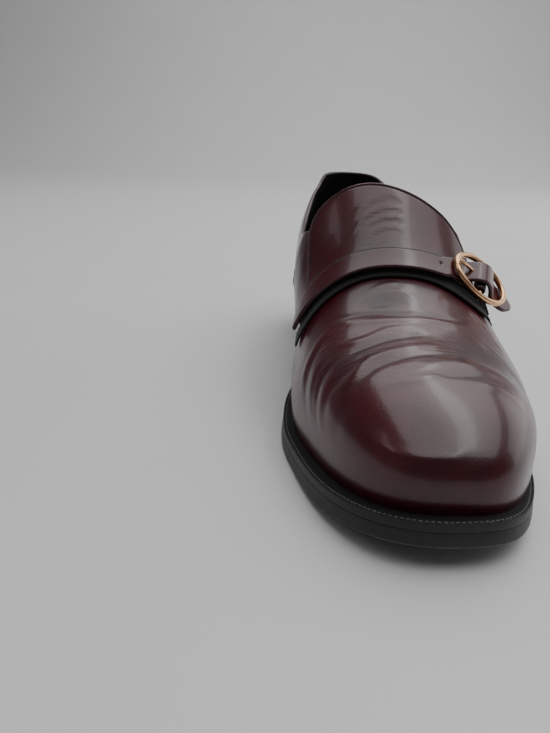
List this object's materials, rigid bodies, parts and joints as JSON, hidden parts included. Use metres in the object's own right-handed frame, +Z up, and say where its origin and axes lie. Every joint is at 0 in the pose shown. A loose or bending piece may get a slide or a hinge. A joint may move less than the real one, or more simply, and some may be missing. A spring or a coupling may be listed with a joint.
{
  "type": "monk strap shoe",
  "caption": "Slip-on leather dress shoe for the left foot with a high tongue, a buckled strap over an elastic gore, a welted sole and a stacked heel.",
  "frame": {"origin": "on the floor under the middle of the heel's top piece, halfway between the back of the sole and the nominal heel breast", "axes": "+Z up, the toe points along -Y, +X is the outer side of the foot"},
  "size_m": [0.1083, 0.3013, 0.1054],
  "materials": {
    "oxblood_leather": "polished, dark wine red",
    "black_leather": "matt lining leather",
    "edge_black": "black edge dressing, satin",
    "sole_leather": "black edge dressing, satin",
    "rubber": "matt",
    "elastic": "ribbed elastic webbing",
    "gold_plate": "polished, gold coloured plating"
  },
  "bodies": {
    "root": {"buckle_chape": "oxblood_leather", "buckle_frame": "gold_plate", "buckle_prong": "gold_plate", "gore": "elastic", "heel_stack": "edge_black", "heel_top_piece": "rubber", "insole": "black_leather", "instep_strap": "oxblood_leather", "outsole": "sole_leather", "tongue": "oxblood_leather", "upper": "oxblood_leather", "welt": "edge_black"}
  },
  "joints": []
}
